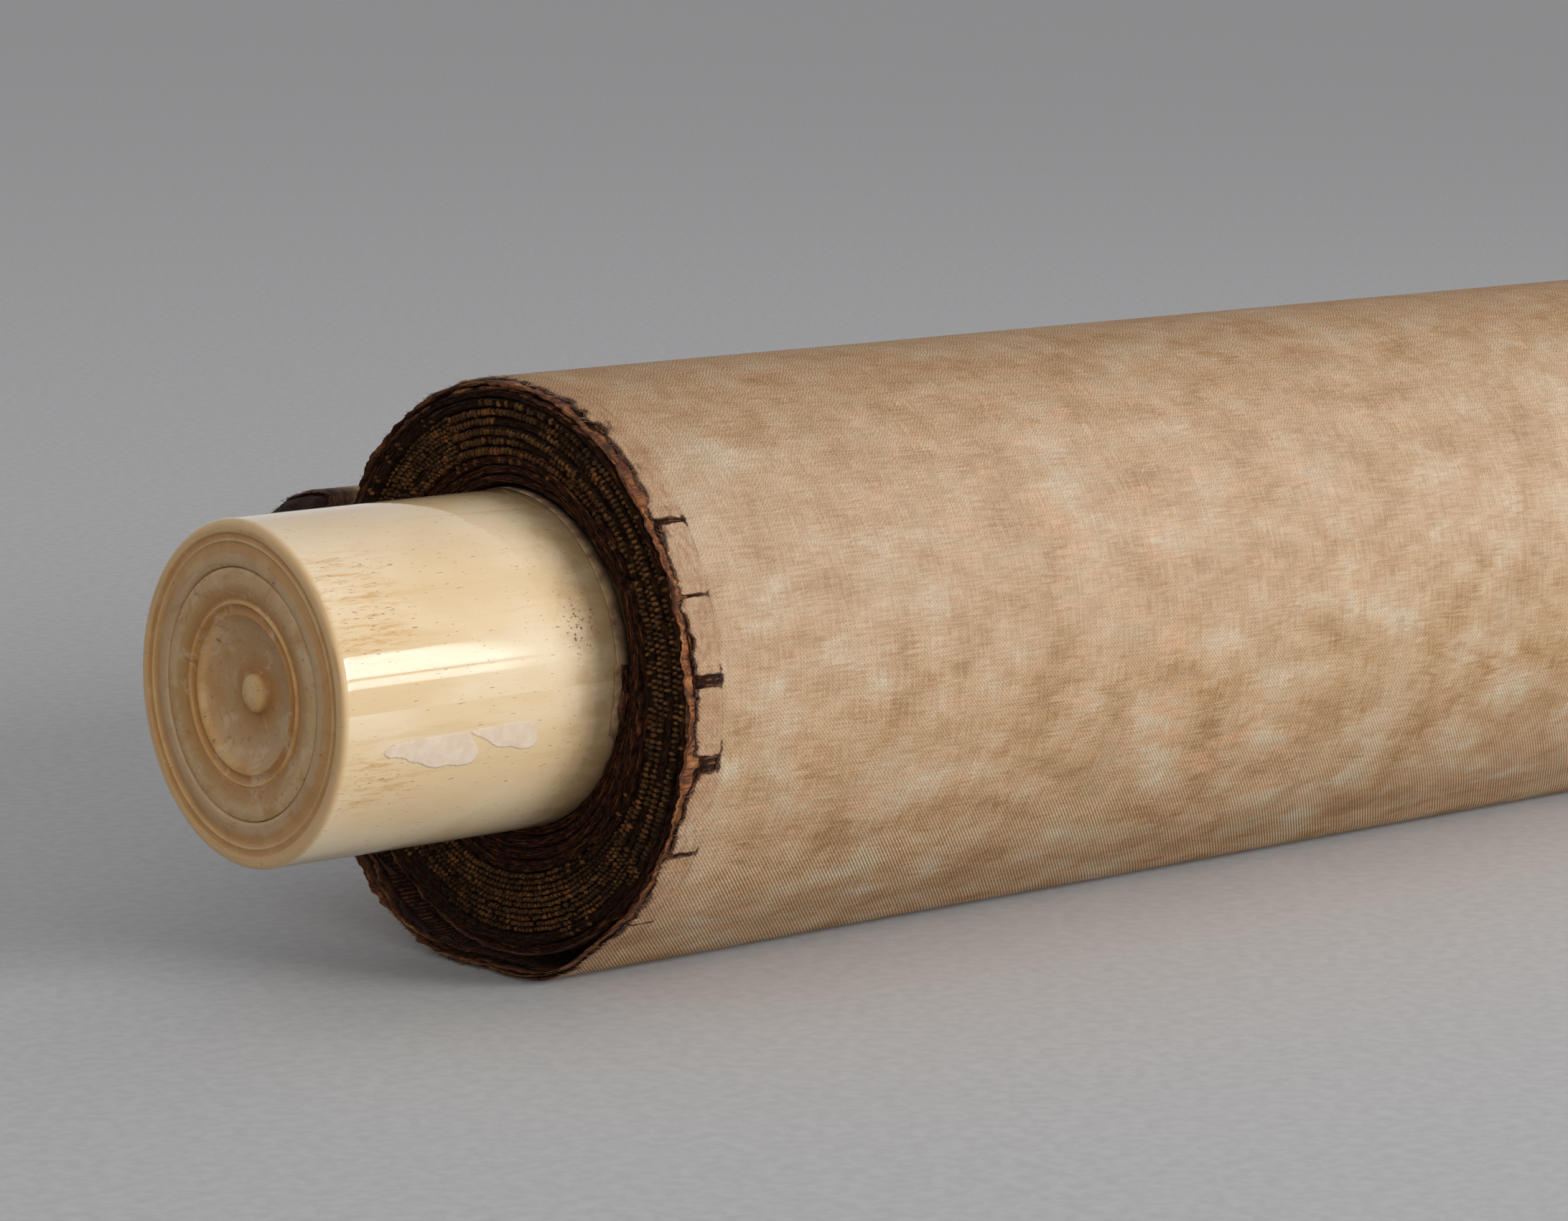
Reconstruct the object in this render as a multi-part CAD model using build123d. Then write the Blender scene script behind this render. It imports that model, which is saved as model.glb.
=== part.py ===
from build123d import *
import math
import os
from dataclasses import dataclass

# Mounted sheet: its width between the two edges, and what it is made of
SHEET_WIDTH = 460.0
SHEET_THICK = 0.5
COVER_THICK = 0.3
GLUE_GAP = 0.03

# Roll: outer radius, the gap between turns where they lie closest, and how far and which way they settle
ROLL_R = 26.5
TURN_GAP = 0.19
SETTLE = 2.66
SETTLE_ANGLE = -35.4
START_ANGLE = 175.0

# Loose last turn: its sag under the roll, the flat strip that it lies on and its bulge at the back
SAG = 1.06
SAG_R = 16.0
AXIS_TO_STRIP = 4.85
STRIP_WIDTH = 8.7
BULGE_R = 18.9

# Knobs: a bone tube with a grooved rim, and a dished disc let into its outer end
KNOB_R = 15.0
KNOB_LENGTH = 29.3
KNOB_WALL = 4.1
RIM_CHAMFER = 0.4
RIM_WIDTH = 1.3
GROOVE_WIDTH = 1.6
GROOVE_DEPTH = 0.25
PLUG_GAP = 0.04
PLUG_THICK = 5.0
PLUG_RECESS = 0.15
PLUG_EDGE_WIDTH = 2.36
RIDGE_R = 7.7
RIDGE_WIDTH = 0.8
RIDGE_HEIGHT = 0.35
RIDGE_DROP = 0.1
DISH_R = 4.2
DISH_DEPTH = 1.75
NIPPLE_R = 1.8
NIPPLE_HEIGHT = 0.7

# Roller: a turned wooden rod, a little thinner than the knobs, with a tenon in each knob
ROD_STEP = 0.25
WRAP_GAP = 0.1
TENON_GAP = 0.1
TENON_END_GAP = 0.3

# Top stave: half a round rod in the hem at the sheet's outer end
STAVE_R = 12.5
HEM_GAP = 0.1
STAVE_SEAT_GAP = 0.3
STAVE_INSET = 1.0
HEM_PASTE_ANGLE = 5.0
COVER_TURN_IN = 4.0

# Silk cover: how far its worn edge stands back, and the notches worn through to the hem crease
COVER_SETBACK = 0.8
HEM_CREASE = 3.7
NOTCHES = ((143.8, 0.7), (158.9, 0.4), (174.9, 1.1), (190.7, 1.6), (210.0, 0.8), (229.9, 0.7))

# Hanging eyelets: a brass ring on a shank with a collar, driven through the hem into the stave
EYELET_SPACING = 153.0
EYELET_ANGLE = 78.0
EYELET_WIRE_R = 0.6
WIRE_SIDES = 5
EYELET_HOLE_R = 2.0
SHANK_DEPTH = 7.0
SHANK_GAP = 0.02
CLOTH_HOLE_GAP = 0.1
COLLAR_R = 3.4
COLLAR_THICK = 0.5
COLLAR_GAP = 0.05

# Places that follow from the sizes above, in the section plane: Y to the back, Z up
SETTLE_DIR = (math.cos(math.radians(SETTLE_ANGLE)), math.sin(math.radians(SETTLE_ANGLE)))
ROLL_CENTRE = (SETTLE * SETTLE_DIR[0] - AXIS_TO_STRIP, ROLL_R + SAG)
AXIS = (-AXIS_TO_STRIP, ROLL_CENTRE[1] - SETTLE * SETTLE_DIR[1])
LAMINATE = SHEET_THICK + GLUE_GAP + COVER_THICK
SHEET_MID_DEPTH = LAMINATE - SHEET_THICK / 2
FIRST_TURN_R = KNOB_R + WRAP_GAP + SHEET_THICK / 2
LAST_TURN_R = ROLL_R - SHEET_MID_DEPTH
TURNS = int((LAST_TURN_R - FIRST_TURN_R - SETTLE) / (SHEET_THICK + TURN_GAP))
END_X = SHEET_WIDTH / 2
STAVE_CENTRE = (
    ROLL_CENTRE[0] + ROLL_R + STAVE_SEAT_GAP + SHEET_THICK + HEM_GAP,
    ROLL_CENTRE[1],
)
HEM_OUTER_R = STAVE_R + HEM_GAP + LAMINATE
KNOB_BORE_R = KNOB_R - KNOB_WALL

os.makedirs("parts", exist_ok=True)


@dataclass
class Bend:
    """A round stretch of the sheet's centre line, turning left about its centre."""

    centre: tuple
    radius: float
    start: float
    end: float

    def edge(self, offset):
        return CenterArc(self.centre, self.radius + offset, self.start, self.end - self.start)


@dataclass
class Run:
    """A straight stretch of the sheet's centre line, its outer face on the right."""

    start: Vector
    end: Vector

    def edge(self, offset):
        heading = (self.end - self.start).normalized()
        outward = Vector(heading.Y, -heading.X) * offset
        return Line(self.start + outward, self.end + outward)


def polar(centre, radius, degrees):
    angle = math.radians(degrees)
    return Vector(centre[0] + radius * math.cos(angle), centre[1] + radius * math.sin(angle))


def tangent_angle(centre_a, radius_a, centre_b, radius_b):
    """Where a straight run leaves circle A, turning left, to go on round circle B."""
    between = Vector(*centre_b) - Vector(*centre_a)
    lean = math.degrees(math.atan2(between.Y, between.X))
    return lean - math.degrees(math.acos((radius_a - radius_b) / between.length))


def band(path, inner, outer):
    """The closed outline of a layer that follows the path between two offsets from it."""
    outer_edges = [piece.edge(outer) for piece in path]
    inner_edges = [piece.edge(inner) for piece in path]
    caps = [
        Line(inner_edges[0] @ 0, outer_edges[0] @ 0),
        Line(inner_edges[-1] @ 1, outer_edges[-1] @ 1),
    ]
    return make_face(Curve() + outer_edges + inner_edges + caps)


def across(section, x_from, x_to):
    """A section in Y and Z, extruded from one place along the roll to another."""
    plane = Plane(origin=(x_from, 0, 0), x_dir=(0, 1, 0), z_dir=(1, 0, 0))
    return extrude(plane * section, amount=x_to - x_from)


def tight_turns():
    """The sheet's centre line from the roller out to the last joint: half turns whose centre drifts."""
    pitch = (LAST_TURN_R - FIRST_TURN_R) / TURNS
    drift = SETTLE / TURNS
    grow_low = (pitch - drift) / 2
    grow_high = (pitch + drift) / 2
    centre = Vector(*AXIS)
    direction = Vector(*SETTLE_DIR)
    radius = FIRST_TURN_R
    path = [Bend((centre.X, centre.Y), radius, START_ANGLE, 360 + SETTLE_ANGLE)]
    for _ in range(TURNS):
        radius += grow_low
        centre -= direction * grow_low
        path.append(Bend((centre.X, centre.Y), radius, SETTLE_ANGLE, SETTLE_ANGLE + 180))
        radius += grow_high
        centre += direction * grow_high
        path.append(Bend((centre.X, centre.Y), radius, SETTLE_ANGLE + 180, SETTLE_ANGLE + 360))
    return path


def last_turn(path):
    """Lets the last half turn go: down to the flat strip, up round the bulge and round the stave."""
    front = path[-1]
    strip_front = -STRIP_WIDTH / 2
    strip_back = STRIP_WIDTH / 2
    sag_r = SAG_R - SHEET_MID_DEPTH
    sag_centre = (strip_front, SAG_R)
    bulge_r = BULGE_R - SHEET_MID_DEPTH
    bulge_centre = (strip_back, BULGE_R)
    hem_r = STAVE_R + HEM_GAP + SHEET_THICK / 2
    leave = 360 + tangent_angle(front.centre, front.radius, sag_centre, sag_r)
    part = tangent_angle(bulge_centre, bulge_r, STAVE_CENTRE, hem_r)
    front.end = leave
    path += [
        Run(polar(front.centre, front.radius, leave), polar(sag_centre, sag_r, leave)),
        Bend(sag_centre, sag_r, leave, 270),
        Run(Vector(strip_front, SHEET_MID_DEPTH), Vector(strip_back, SHEET_MID_DEPTH)),
        Bend(bulge_centre, bulge_r, -90, part),
        Run(polar(bulge_centre, bulge_r, part), polar(STAVE_CENTRE, hem_r, part)),
        Bend(STAVE_CENTRE, hem_r, part, 90),
    ]
    return path, part


def hem_return(part_angle):
    """The rest of the hem: down the stave's flat face and under it, back to the sheet."""
    fold_r = HEM_GAP + SHEET_THICK / 2
    top = (STAVE_CENTRE[0], STAVE_CENTRE[1] + STAVE_R)
    foot = (STAVE_CENTRE[0], STAVE_CENTRE[1] - STAVE_R)
    return [
        Bend(top, fold_r, 90, 180),
        Run(Vector(top[0] - fold_r, top[1]), Vector(foot[0] - fold_r, foot[1])),
        Bend(foot, fold_r, 180, 270),
        Bend(STAVE_CENTRE, STAVE_R + fold_r, -90, part_angle - HEM_PASTE_ANGLE),
    ]


def eyelet_places():
    """Where each eyelet stands on the hem, with its Z axis pointing out of the stave."""
    on_hem = polar(STAVE_CENTRE, HEM_OUTER_R, EYELET_ANGLE)
    out = polar((0, 0), 1, EYELET_ANGLE)
    places = []
    for x in (-EYELET_SPACING / 2, EYELET_SPACING / 2):
        places.append(Plane(origin=(x, on_hem.X, on_hem.Y), x_dir=(1, 0, 0), z_dir=(0, out.X, out.Y)))
    return places


def eyelet_holes(radius):
    """Round cuts for the shanks, through the hem and into the stave."""
    return [place * Cylinder(radius, 2 * SHANK_DEPTH) for place in eyelet_places()]


def make_rolled_sheet(path, hem):
    """The mounted sheet with all its turns and the pasted hem."""
    half = SHEET_THICK / 2
    section = band(path, -half, half) + band(hem, -half, half)
    sheet = across(section, -END_X, END_X)
    return sheet - eyelet_holes(EYELET_WIRE_R + CLOTH_HOLE_GAP)


def make_cover_silk(path, hem):
    """The silk on the outside of the last turn, with the notches worn into its near edge."""
    inner = SHEET_THICK / 2 + GLUE_GAP
    outer = inner + COVER_THICK
    flat_side = Run(hem[1].start, hem[1].start + Vector(0, -COVER_TURN_IN))
    outside = path[-8:] + [hem[0], flat_side]
    edge_x = END_X - COVER_SETBACK
    silk = across(band(outside, inner, outer), -edge_x, edge_x)
    length = HEM_CREASE - COVER_SETBACK
    for angle, width in NOTCHES:
        middle = polar(ROLL_CENTRE, ROLL_R, angle)
        cut = Box(2 * length, width, 4 * LAMINATE)
        silk -= Pos(-edge_x, middle.X, middle.Y) * Rot(angle - 90, 0, 0) * cut
    return silk - eyelet_holes(EYELET_WIRE_R + CLOTH_HOLE_GAP)


def make_roller_rod():
    """The wooden roller: the rod in the roll and a tenon at each end."""
    tenon_length = KNOB_LENGTH - PLUG_RECESS - PLUG_THICK - TENON_END_GAP
    tenon_r = KNOB_BORE_R - TENON_GAP
    along = Plane(origin=(0, *AXIS), x_dir=(0, 1, 0), z_dir=(1, 0, 0))
    rod = Cylinder(KNOB_R - ROD_STEP, SHEET_WIDTH)
    tenons = Cylinder(tenon_r, SHEET_WIDTH + 2 * tenon_length)
    return along * (rod + tenons)


def knob_plane(side):
    """A plane at the knob's outer end, its Z axis along the roller and away from the roll."""
    return Plane(origin=(side * (END_X + KNOB_LENGTH), *AXIS), x_dir=(0, 1, 0), z_dir=(side, 0, 0))


def make_knob_sleeve(side):
    """A bone tube with a chamfered outer edge and a shallow groove in its rim."""
    groove_r = KNOB_R - RIM_WIDTH
    outline = Polyline(
        (KNOB_BORE_R, -KNOB_LENGTH),
        (KNOB_R, -KNOB_LENGTH),
        (KNOB_R, -RIM_CHAMFER),
        (KNOB_R - RIM_CHAMFER, 0),
        (groove_r, 0),
        (groove_r - GROOVE_WIDTH / 2, -GROOVE_DEPTH),
        (groove_r - GROOVE_WIDTH, 0),
        (KNOB_BORE_R, 0),
        close=True,
    )
    turned = revolve(Plane.XZ * make_face(outline), Axis.Z)
    return knob_plane(side) * turned


def make_knob_plug(side):
    """A turned bone disc: flat edge, a fine ridge, a dished middle and a nipple."""
    radius = KNOB_BORE_R - PLUG_GAP
    valley = -RIDGE_DROP - RIDGE_HEIGHT
    outline = Polyline(
        (0, -PLUG_THICK),
        (radius, -PLUG_THICK),
        (radius, 0),
        (radius - PLUG_EDGE_WIDTH, 0),
        (RIDGE_R + RIDGE_WIDTH / 2, valley),
        (RIDGE_R, -RIDGE_DROP),
        (RIDGE_R - RIDGE_WIDTH / 2, valley),
        (DISH_R, -DISH_DEPTH),
        (NIPPLE_R, -DISH_DEPTH),
        (0, NIPPLE_HEIGHT - DISH_DEPTH),
        close=True,
    )
    turned = revolve(Plane.XZ * make_face(outline), Axis.Z)
    return knob_plane(side) * (Pos(0, 0, -PLUG_RECESS) * turned)


def make_top_stave():
    """Half a round rod, flat side to the roll, with a blind hole for each shank."""
    arc = CenterArc(STAVE_CENTRE, STAVE_R, -90, 180)
    half_round = make_face(arc + Line(arc @ 1, arc @ 0))
    stave = across(half_round, -END_X + STAVE_INSET, END_X - STAVE_INSET)
    return stave - eyelet_holes(EYELET_WIRE_R + SHANK_GAP)


def make_eyelet():
    """A ring of flat-sided wire on a round shank, with a collar on the hem."""
    ring_r = EYELET_HOLE_R + EYELET_WIRE_R
    ring_foot = COLLAR_GAP + COLLAR_THICK
    ring_height = ring_foot + ring_r
    wire = Plane.XZ * (Pos(ring_r, 0) * RegularPolygon(EYELET_WIRE_R, WIRE_SIDES))
    ring = Pos(0, 0, ring_height) * Rot(0, 90, 0) * revolve(wire, Axis.Z)
    collar = Pos(0, 0, ring_foot - COLLAR_THICK / 2) * Cylinder(COLLAR_R, COLLAR_THICK)
    shank_length = ring_foot + SHANK_DEPTH - SHANK_GAP
    shank = Pos(0, 0, ring_foot - shank_length / 2) * Cylinder(EYELET_WIRE_R, shank_length)
    return ring + shank + collar


def main():
    path, part_angle = last_turn(tight_turns())
    hem = hem_return(part_angle)
    parts = {
        "roller_rod": make_roller_rod(),
        "rolled_sheet": make_rolled_sheet(path, hem),
        "cover_silk": make_cover_silk(path, hem),
        "top_stave": make_top_stave(),
        "eyelets": Compound([place * make_eyelet() for place in eyelet_places()]),
        "knob_sleeves": Compound([make_knob_sleeve(side) for side in (-1, 1)]),
        "knob_plugs": Compound([make_knob_plug(side) for side in (-1, 1)]),
    }
    for name, shape in parts.items():
        export_step(shape, f"parts/{name}.step")


main()
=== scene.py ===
import random
from math import acos, atan2, cos, degrees, dist, exp, hypot, pi, radians, sin, sqrt

import bmesh
import bpy
import numpy as np
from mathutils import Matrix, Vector, noise


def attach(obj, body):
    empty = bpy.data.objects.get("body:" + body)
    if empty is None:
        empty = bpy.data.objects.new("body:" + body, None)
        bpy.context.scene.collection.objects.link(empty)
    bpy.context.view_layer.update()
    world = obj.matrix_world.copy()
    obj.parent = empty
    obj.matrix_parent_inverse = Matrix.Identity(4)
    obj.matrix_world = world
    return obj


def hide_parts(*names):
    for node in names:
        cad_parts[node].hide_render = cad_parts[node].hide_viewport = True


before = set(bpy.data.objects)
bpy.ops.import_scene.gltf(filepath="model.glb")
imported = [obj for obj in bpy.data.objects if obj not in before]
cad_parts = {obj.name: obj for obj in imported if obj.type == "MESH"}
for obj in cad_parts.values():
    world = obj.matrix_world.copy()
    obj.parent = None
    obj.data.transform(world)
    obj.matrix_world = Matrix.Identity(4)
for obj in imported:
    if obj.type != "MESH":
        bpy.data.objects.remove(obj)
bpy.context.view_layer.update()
MM = 0.001

# Sizes in mm, in the row frame: X along the roll to the far knob, Y to the back, Z up
SHEET_THICK = 0.5
COVER_THICK = 0.3
GLUE_GAP = 0.03
ROLL_R = 26.5
TURNS = 11
SETTLE = 2.66
SETTLE_ANGLE = -35.4
START_ANGLE = 175.0
SAG = 1.06
SAG_R = 16.0
AXIS_TO_STRIP = 4.85
STRIP_WIDTH = 8.7
BULGE_R = 18.9
KNOB_R = 15.0
KNOB_LENGTH = 29.3
KNOB_BORE_R = 10.9
WRAP_GAP = 0.1
STAVE_R = 12.5
HEM_GAP = 0.1
STAVE_SEAT_GAP = 0.3
HEM_PASTE_ANGLE = 5.0
COVER_TURN_IN = 4.0
COVER_SETBACK = 0.8
HEM_CREASE = 3.7
EYELET_SPACING = 153.0
EYELET_ANGLE = 78.0
EYELET_WIRE_R = 0.6
EYELET_HOLE_R = 2.0
COLLAR_R = 3.4
END_X = 230.0
WARP_RADIANS_PER_MM = 15.0
WEFT_RADIANS_PER_MM = 16.5
BODY_SETBACK = 1.6
EDGE_ROOT = 2.2
RIBBON_ROOT = -1.5
LIP_REACH = 0.36
LABEL_LIFT = 0.016
LABEL_THICK = 0.012

# How fine the meshes are: steps in mm, or steps round
BODY_STEP = 2.2
EDGE_STEPS = (0.34, 0.8)
COVER_STEP = 0.42
RIBBON_STEP = 0.2
BEAD_SPACING = 0.53
NOTCH_STEP = 0.09
LABEL_CELL = 0.1
LATHE_STEPS = 168
LIP_STEPS = 420
RING_STEPS, WIRE_STEPS, SHANK_STEPS = 40, 14, 16
FRAY_COUNTS = (600, 400)
SEED = 5

# Near end at X below 0, far end above
ENDS = (("near", -1), ("far", 1))

# Notches worn through the silk to the crease: angle round the roll's centre, width, and how far each tears
# on along the crease, up and down
NOTCHES = ((143.8, 0.45, 0.1, 0.4), (158.9, 0.12, 0.1, 0.1), (174.9, 1.0, 0.7, 0.2), (190.7, 1.5, 1.1, 0.1),
           (210.0, 0.3, 0.5, 0.1), (229.9, 0.15, 0.3, 0.1))
NOTCH_SIDE = 0.16

# The two paper remnants on the near knob: distance out from the roll's end, and degrees round the axis
LABEL_LEFT = ((-25.04, 194.1), (-24.67, 192.6), (-24.08, 191.3), (-23.1, 190.9), (-21.69, 190.5),
              (-19.97, 190.4), (-17.66, 190.4), (-16.3, 190.3), (-15.93, 192.1), (-15.28, 195.3),
              (-14.84, 197.9), (-14.98, 200.4), (-15.55, 202.2), (-17.05, 202.1), (-17.97, 201.3),
              (-19.1, 201.8), (-20.01, 201.0), (-21.0, 199.0), (-22.05, 198.2), (-22.72, 196.4),
              (-23.47, 195.8), (-24.25, 195.8))
LABEL_RIGHT = ((-16.15, 190.3), (-14.77, 189.8), (-13.32, 189.6), (-11.85, 189.5), (-10.38, 189.4),
               (-9.64, 189.4), (-9.06, 191.0), (-8.89, 193.5), (-8.58, 196.6), (-9.01, 199.4),
               (-10.18, 199.5), (-11.49, 197.6), (-12.36, 197.8), (-13.3, 196.7), (-13.67, 195.3),
               (-14.65, 193.2), (-15.5, 191.9))

# Camera, lamps and stage, in metres, watts and linear colour
CAMERA_AT = (-0.50899, -0.36396, 0.10367)
CAMERA_YAW, CAMERA_PITCH = 0.8577, -0.1536
CAMERA_LENS, CAMERA_SENSOR = 119.785, 36.0
LAMP_TARGET = (0, 0, 0.03)
LAMP_SPREAD = 75
KEY_DIRECTION = (0.307, -1.087, 0.384)
KEY_DISTANCE = 1.196
WORLD_LIGHT = (0.36, 0.36, 0.365, 1.0)
WORLD_SEEN = (0.76, 0.76, 0.77, 1.0)
FLOOR_HALF = 6.0

SETTLE_DIR = (cos(radians(SETTLE_ANGLE)), sin(radians(SETTLE_ANGLE)))
ROLL_CENTRE = (SETTLE * SETTLE_DIR[0] - AXIS_TO_STRIP, ROLL_R + SAG)
AXIS = (-AXIS_TO_STRIP, ROLL_CENTRE[1] - SETTLE * SETTLE_DIR[1])
LAMINATE = SHEET_THICK + GLUE_GAP + COVER_THICK
MID_DEPTH = LAMINATE - SHEET_THICK / 2
FIRST_R = KNOB_R + WRAP_GAP + SHEET_THICK / 2
LAST_R = ROLL_R - MID_DEPTH
PITCH = (LAST_R - FIRST_R) / TURNS
DRIFT = SETTLE / TURNS
SILK_IN = SHEET_THICK / 2 + GLUE_GAP
SILK_OUT = SILK_IN + COVER_THICK
STAVE_CENTRE = (ROLL_CENTRE[0] + ROLL_R + STAVE_SEAT_GAP + SHEET_THICK + HEM_GAP, ROLL_CENTRE[1])


# Section path of the sheet


class Bend:
    """A round stretch of the sheet's centre line, turning left about its centre."""

    def __init__(self, centre, radius, start, end):
        self.centre, self.radius, self.start, self.end = centre, radius, start, end

    def length(self):
        return radians(self.end - self.start) * self.radius

    def at(self, t):
        a = radians(self.start + (self.end - self.start) * t)
        n = (cos(a), sin(a))
        return (self.centre[0] + self.radius * n[0], self.centre[1] + self.radius * n[1]), n


class Run:
    """A straight stretch, its outer face on the right."""

    def __init__(self, start, end):
        self.start, self.end = start, end

    def length(self):
        return dist(self.start, self.end)

    def at(self, t):
        a, b = self.start, self.end
        d = self.length()
        return (a[0] + (b[0] - a[0]) * t, a[1] + (b[1] - a[1]) * t), ((b[1] - a[1]) / d, (a[0] - b[0]) / d)


def polar(centre, radius, angle):
    """The point at a radius and an angle in degrees from the centre."""
    a = radians(angle)
    return centre[0] + radius * cos(a), centre[1] + radius * sin(a)


def circle(steps):
    """Cosine and sine at even steps round a circle."""
    angles = [2 * pi * j / steps for j in range(steps)]
    return [(cos(a), sin(a)) for a in angles]


def off_line(x, p, n, out, slide=0.0):
    """The point at x that lies out from the section point p along its normal n, and slid along the sheet."""
    return x, p[0] + n[0] * out - n[1] * slide, p[1] + n[1] * out + n[0] * slide


def tangent_angle(centre_a, radius_a, centre_b, radius_b):
    """The angle at which a straight run leaves one bend for the next."""
    dy, dz = centre_b[0] - centre_a[0], centre_b[1] - centre_a[1]
    lean = degrees(atan2(dz, dy))
    return lean - degrees(acos((radius_a - radius_b) / hypot(dy, dz)))


def sheet_path():
    """The sheet's centre line from the roller to the stave, and the hem after it."""
    low, high = (PITCH - DRIFT) / 2, (PITCH + DRIFT) / 2
    cy, cz = AXIS
    r = FIRST_R
    path = [Bend((cy, cz), r, START_ANGLE, 360 + SETTLE_ANGLE)]
    for _ in range(TURNS):
        r += low
        cy, cz = cy - SETTLE_DIR[0] * low, cz - SETTLE_DIR[1] * low
        path.append(Bend((cy, cz), r, SETTLE_ANGLE, SETTLE_ANGLE + 180))
        r += high
        cy, cz = cy + SETTLE_DIR[0] * high, cz + SETTLE_DIR[1] * high
        path.append(Bend((cy, cz), r, SETTLE_ANGLE + 180, SETTLE_ANGLE + 360))
    front = path[-1]
    lo, hi = -STRIP_WIDTH / 2, STRIP_WIDTH / 2
    sag_c, sag_r = (lo, SAG_R), SAG_R - MID_DEPTH
    bulge_c, bulge_r = (hi, BULGE_R), BULGE_R - MID_DEPTH
    hem_r = STAVE_R + HEM_GAP + SHEET_THICK / 2
    leave = 360 + tangent_angle(front.centre, front.radius, sag_c, sag_r)
    part = tangent_angle(bulge_c, bulge_r, STAVE_CENTRE, hem_r)
    front.end = leave
    path += [
        Run(polar(front.centre, front.radius, leave), polar(sag_c, sag_r, leave)),
        Bend(sag_c, sag_r, leave, 270),
        Run((lo, MID_DEPTH), (hi, MID_DEPTH)),
        Bend(bulge_c, bulge_r, -90, part),
        Run(polar(bulge_c, bulge_r, part), polar(STAVE_CENTRE, hem_r, part)),
        Bend(STAVE_CENTRE, hem_r, part, 90),
    ]
    fold_r = HEM_GAP + SHEET_THICK / 2
    top = (STAVE_CENTRE[0], STAVE_CENTRE[1] + STAVE_R)
    foot = (STAVE_CENTRE[0], STAVE_CENTRE[1] - STAVE_R)
    hem = [
        Bend(top, fold_r, 90, 180),
        Run((top[0] - fold_r, top[1]), (foot[0] - fold_r, foot[1])),
        Bend(foot, fold_r, 180, 270),
        Bend(STAVE_CENTRE, STAVE_R + fold_r, -90, part - HEM_PASTE_ANGLE),
    ]
    return path, hem


def sample(path, step, s_from=0.0):
    """Points, outward normals and lengths along a path, about step mm apart, with both ends."""
    pts, nrm, run = [], [], []
    s = s_from
    for piece in path:
        length = piece.length()
        n = max(2, round(length / step))
        for i in range(n):
            p, nn = piece.at(i / n)
            pts.append(p)
            nrm.append(nn)
            run.append(s + length * i / n)
        s += length
    p, nn = path[-1].at(1)
    pts.append(p)
    nrm.append(nn)
    run.append(s)
    return np.array(pts), np.array(nrm), np.array(run)


def path_length(path):
    return sum(piece.length() for piece in path)


def along(path, lengths, s_from=0.0):
    """Points and outward normals at given lengths along a path."""
    ends = s_from + np.cumsum([piece.length() for piece in path])
    pts, nrm = [], []
    for s in lengths:
        i = min(int(np.searchsorted(ends, s)), len(path) - 1)
        t = 1 - (ends[i] - s) / path[i].length()
        p, n = path[i].at(unit(t))
        pts.append(p)
        nrm.append(n)
    return np.array(pts), np.array(nrm)


def stretch(turns_in, from_angle, to_angle):
    """Lengths along the sheet, between two angles on the turn that lies turns_in inside the last one."""
    low = len(PATH) - 8 - 2 * turns_in
    start = path_length(PATH[:low])
    first, second = PATH[low], PATH[low + 1]
    lengths = []
    for angle in (from_angle, to_angle):
        if angle <= first.end:
            lengths.append(start + radians(angle - first.start) * first.radius)
        else:
            lengths.append(start + first.length() + radians(angle - first.end) * second.radius)
    return lengths


PATH, HEM = sheet_path()
S_LAST = path_length(PATH[:-8])
S_END = path_length(PATH)
S_HEM = path_length(PATH[:-1])


def unit(x):
    """x kept between 0 and 1."""
    return min(1.0, max(0.0, x))


def nz(*v, seed=0.0):
    """Smooth seeded noise from -1 to 1."""
    v = list(v) + [0.0] * (3 - len(v))
    return noise.noise(Vector((v[0] + 17.3 * seed, v[1] - 9.1 * seed, v[2] + 5.7 * seed)))


# Mesh helpers


def new_object(name, verts, faces, uvs=None, dirt=None, outward=False):
    """A smooth mesh from places in mm, with its cloth UV in mm and how soiled each vertex is.

    outward turns the faces outward, for closed meshes."""
    mesh = bpy.data.meshes.new(name)
    mesh.from_pydata([tuple(c * MM for c in v) for v in verts], [], faces)
    if uvs is not None:
        layer = mesh.uv_layers.new(name="cloth")
        uv = np.array(uvs, dtype=np.float32)
        loop_verts = np.zeros(len(mesh.loops), dtype=np.int32)
        mesh.loops.foreach_get("vertex_index", loop_verts)
        layer.data.foreach_set("uv", uv[loop_verts].ravel())
    if dirt is not None:
        mesh.attributes.new("dirt", "FLOAT", "POINT").data.foreach_set("value", dirt)
    mesh.polygons.foreach_set("use_smooth", [True] * len(mesh.polygons))
    mesh.update()
    if outward:
        bm = bmesh.new()
        bm.from_mesh(mesh)
        bmesh.ops.recalc_face_normals(bm, faces=bm.faces)
        bm.to_mesh(mesh)
        bm.free()
    obj = bpy.data.objects.new(name, mesh)
    bpy.context.scene.collection.objects.link(obj)
    return obj


def grid_faces(rows, cols, wrap_rows=False, wrap_cols=False, base=0):
    """Quads over a grid of vertices that starts at base, closed round where wrapped."""
    faces = []
    for i in range(rows if wrap_rows else rows - 1):
        a, b = base + i * cols, base + ((i + 1) % rows) * cols
        for j in range(cols if wrap_cols else cols - 1):
            k = (j + 1) % cols
            faces.append((a + j, a + k, b + k, b + j))
    return faces


def finish_piece(obj, material, slot, *nodes):
    """Gives the piece its material and hides the CAD nodes that it stands for. slot is not used."""
    obj.data.materials.append(material)
    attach(obj, "root")
    if nodes:
        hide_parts(*nodes)
    return obj


# Material helpers


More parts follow.
